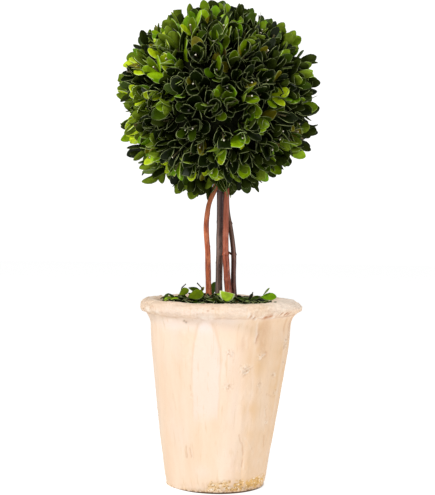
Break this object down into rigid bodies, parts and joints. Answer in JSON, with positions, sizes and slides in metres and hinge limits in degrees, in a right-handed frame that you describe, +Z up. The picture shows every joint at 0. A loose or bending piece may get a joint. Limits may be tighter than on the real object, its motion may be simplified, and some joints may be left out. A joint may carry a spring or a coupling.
{
  "type": "potted box topiary ball",
  "caption": "Clipped box ball on slender bare stems, planted in a tapered limewashed clay pot with a rolled rim.",
  "frame": {"origin": "middle of the pot's flat underside", "axes": "+Z up, -Y towards the viewer of the picture, +X to the viewer's right"},
  "size_m": [0.2086, 0.2089, 0.4991],
  "materials": {
    "clay": "matt limewashed clay, trowelled by hand",
    "filling": "dry and dull",
    "litter": "dried leaves, half matt",
    "foliage": "leaves with a soft waxy gloss",
    "red_bark": "smooth thin bark",
    "grey_bark": "fine ridged bark"
  },
  "bodies": {
    "root": {"pot": "clay", "soil_fill": "filling", "leaf_litter": "litter", "stem_left": "red_bark", "stem_middle": "grey_bark", "stem_right": "red_bark", "stem_bowed": "grey_bark", "foliage_ball": "foliage"}
  },
  "joints": []
}
